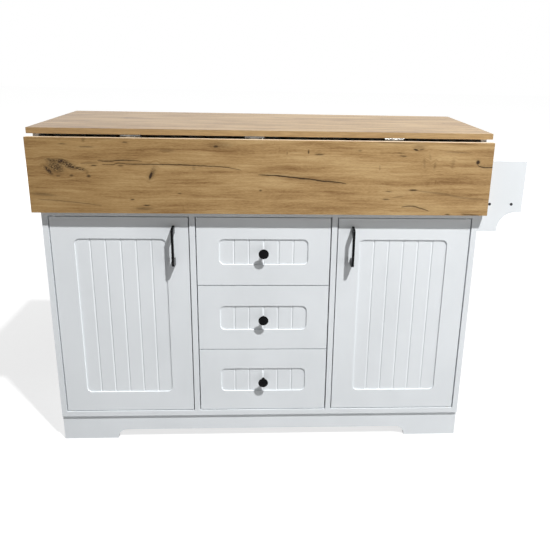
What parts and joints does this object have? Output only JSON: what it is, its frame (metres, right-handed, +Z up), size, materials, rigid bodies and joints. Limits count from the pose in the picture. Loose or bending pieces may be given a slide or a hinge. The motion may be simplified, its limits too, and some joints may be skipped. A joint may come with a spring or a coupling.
{
  "type": "drop leaf kitchen island",
  "caption": "Kitchen island with oak worktop and hinged drop leaf on folding stays, white cupboards either side of drawers, plinth base and end rack.",
  "frame": {"origin": "middle of the footprint's bounding box, on the floor under the plinth", "axes": "+X along the length towards the end rack, +Y from the drawer fronts to the back, +Z up"},
  "size_m": [1.302, 0.435, 0.921],
  "materials": {
    "oak": "rustic oak with dark grain, cracks and knots, matt lacquer",
    "white_board": "white lacquered board, satin",
    "black_metal": "satin black",
    "zinc_steel": "zinc plated",
    "dark_steel": "dark oxide screw heads",
    "rail_steel": "white lacquered round rail",
    "beech": "plain beech, hidden in the boards",
    "bush_plastic": "white moulded plastic"
  },
  "bodies": {
    "carcass": {"side_left": "white_board", "side_right": "white_board", "divider_left": "white_board", "divider_right": "white_board", "bottom_board": "white_board", "deck": "white_board", "back_panel": "white_board", "niche_partitions": "white_board", "dowels": "beech", "plinth_front": "white_board", "plinth_back": "white_board", "plinth_sides": "white_board", "plinth_centre": "white_board", "worktop": "oak", "hinge_top_plates": "zinc_steel", "hinge_pins": "zinc_steel", "worktop_screws": "zinc_steel", "stay_side_brackets": "zinc_steel", "stay_side_screws": "zinc_steel", "door_pivot_bushes": "bush_plastic", "door_catches": "bush_plastic", "cabinet_runners": "zinc_steel", "shelf_left": "white_board", "shelf_right": "white_board", "shelf_pins": "zinc_steel", "rack_front_panel": "white_board", "rack_back_panel": "white_board", "rack_shelf": "white_board", "rack_rail": "rail_steel", "rack_screws": "dark_steel"},
    "leaf": {"leaf": "oak", "hinge_leaf_plates": "zinc_steel", "leaf_screws": "zinc_steel", "stay_leaf_brackets": "zinc_steel"},
    "stay_lower": {"stay_lower_arms": "zinc_steel"},
    "stay_upper": {"stay_upper_arms": "zinc_steel"},
    "door_left": {"door_left": "white_board", "door_left_pivot_pins": "zinc_steel", "door_left_strike": "zinc_steel", "door_left_handle": "black_metal"},
    "door_right": {"door_right": "white_board", "door_right_pivot_pins": "zinc_steel", "door_right_strike": "zinc_steel", "door_right_handle": "black_metal"},
    "drawer_top": {"drawer_top_front": "white_board", "drawer_top_box": "white_board", "drawer_top_base": "white_board", "drawer_top_knob": "black_metal", "drawer_top_runners": "zinc_steel"},
    "drawer_middle": {"drawer_middle_front": "white_board", "drawer_middle_box": "white_board", "drawer_middle_base": "white_board", "drawer_middle_knob": "black_metal", "drawer_middle_runners": "zinc_steel"},
    "drawer_bottom": {"drawer_bottom_front": "white_board", "drawer_bottom_box": "white_board", "drawer_bottom_base": "white_board", "drawer_bottom_knob": "black_metal", "drawer_bottom_runners": "zinc_steel"}
  },
  "joints": [
    {"name": "leaf_hinge", "type": "hinge", "parent": "carcass", "child": "leaf", "pos_m": [0, -0.1967, 0.9035], "axis": [-1, 0, 0], "range_deg": [0, 90]},
    {"name": "stay_lower_pivot", "type": "hinge", "parent": "carcass", "child": "stay_lower", "pos_m": [0, -0.14224, 0.81963], "axis": [-1, 0, 0], "range_deg": [0, 95]},
    {"name": "stay_upper_pivot", "type": "hinge", "parent": "leaf", "child": "stay_upper", "pos_m": [0, -0.1912, 0.80365], "axis": [1, 0, 0], "range_deg": [0, 95]},
    {"name": "door_left_pivot", "type": "hinge", "parent": "carcass", "child": "door_left", "pos_m": [-0.606, -0.182, 0.4], "axis": [0, 0, -1], "range_deg": [0, 105]},
    {"name": "door_right_pivot", "type": "hinge", "parent": "carcass", "child": "door_right", "pos_m": [0.504, -0.182, 0.4], "axis": [0, 0, 1], "range_deg": [0, 105]},
    {"name": "drawer_top_slide", "type": "slide", "parent": "carcass", "child": "drawer_top", "axis": [0, -1, 0], "range_m": [0, 0.26]},
    {"name": "drawer_middle_slide", "type": "slide", "parent": "carcass", "child": "drawer_middle", "axis": [0, -1, 0], "range_m": [0, 0.26]},
    {"name": "drawer_bottom_slide", "type": "slide", "parent": "carcass", "child": "drawer_bottom", "axis": [0, -1, 0], "range_m": [0, 0.26]}
  ],
  "couplings": [
    {"joint": "stay_lower_pivot", "follows": "leaf_hinge", "ratio": 1.0545},
    {"joint": "stay_upper_pivot", "follows": "leaf_hinge", "ratio": 1.0545}
  ]
}
